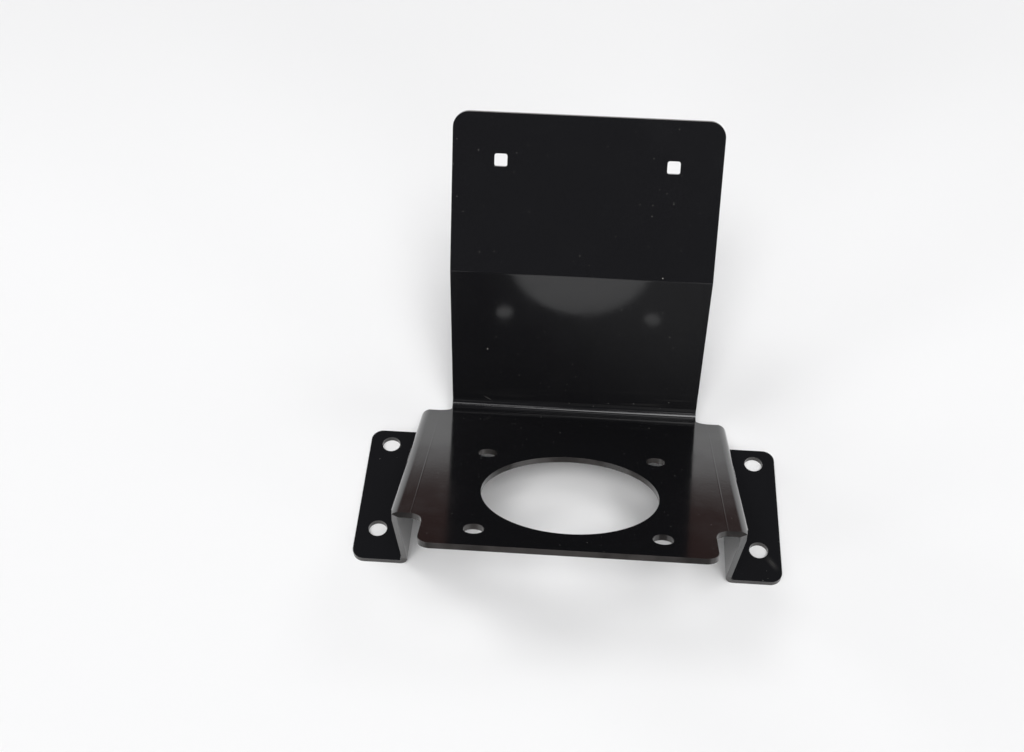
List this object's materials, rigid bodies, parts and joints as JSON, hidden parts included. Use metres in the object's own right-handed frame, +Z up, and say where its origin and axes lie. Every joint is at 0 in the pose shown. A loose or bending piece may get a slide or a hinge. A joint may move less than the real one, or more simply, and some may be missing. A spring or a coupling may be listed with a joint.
{
  "type": "fire extinguisher bracket",
  "caption": "Folded steel bracket with a sloping platform, a large hole, bolt-down feet and a kinked, leaning back plate with square bolt holes.",
  "frame": {"origin": "on the floor plane, in the middle of the rectangle of the feet's bolt holes", "axes": "+Z up, +Y towards the back plate, +X to the right as seen from the platform's front edge"},
  "size_m": [0.25, 0.2282, 0.1969],
  "materials": {
    "black_powder_coat": "smooth gloss black powder coat"
  },
  "bodies": {
    "root": {"bracket": "black_powder_coat"}
  },
  "joints": []
}
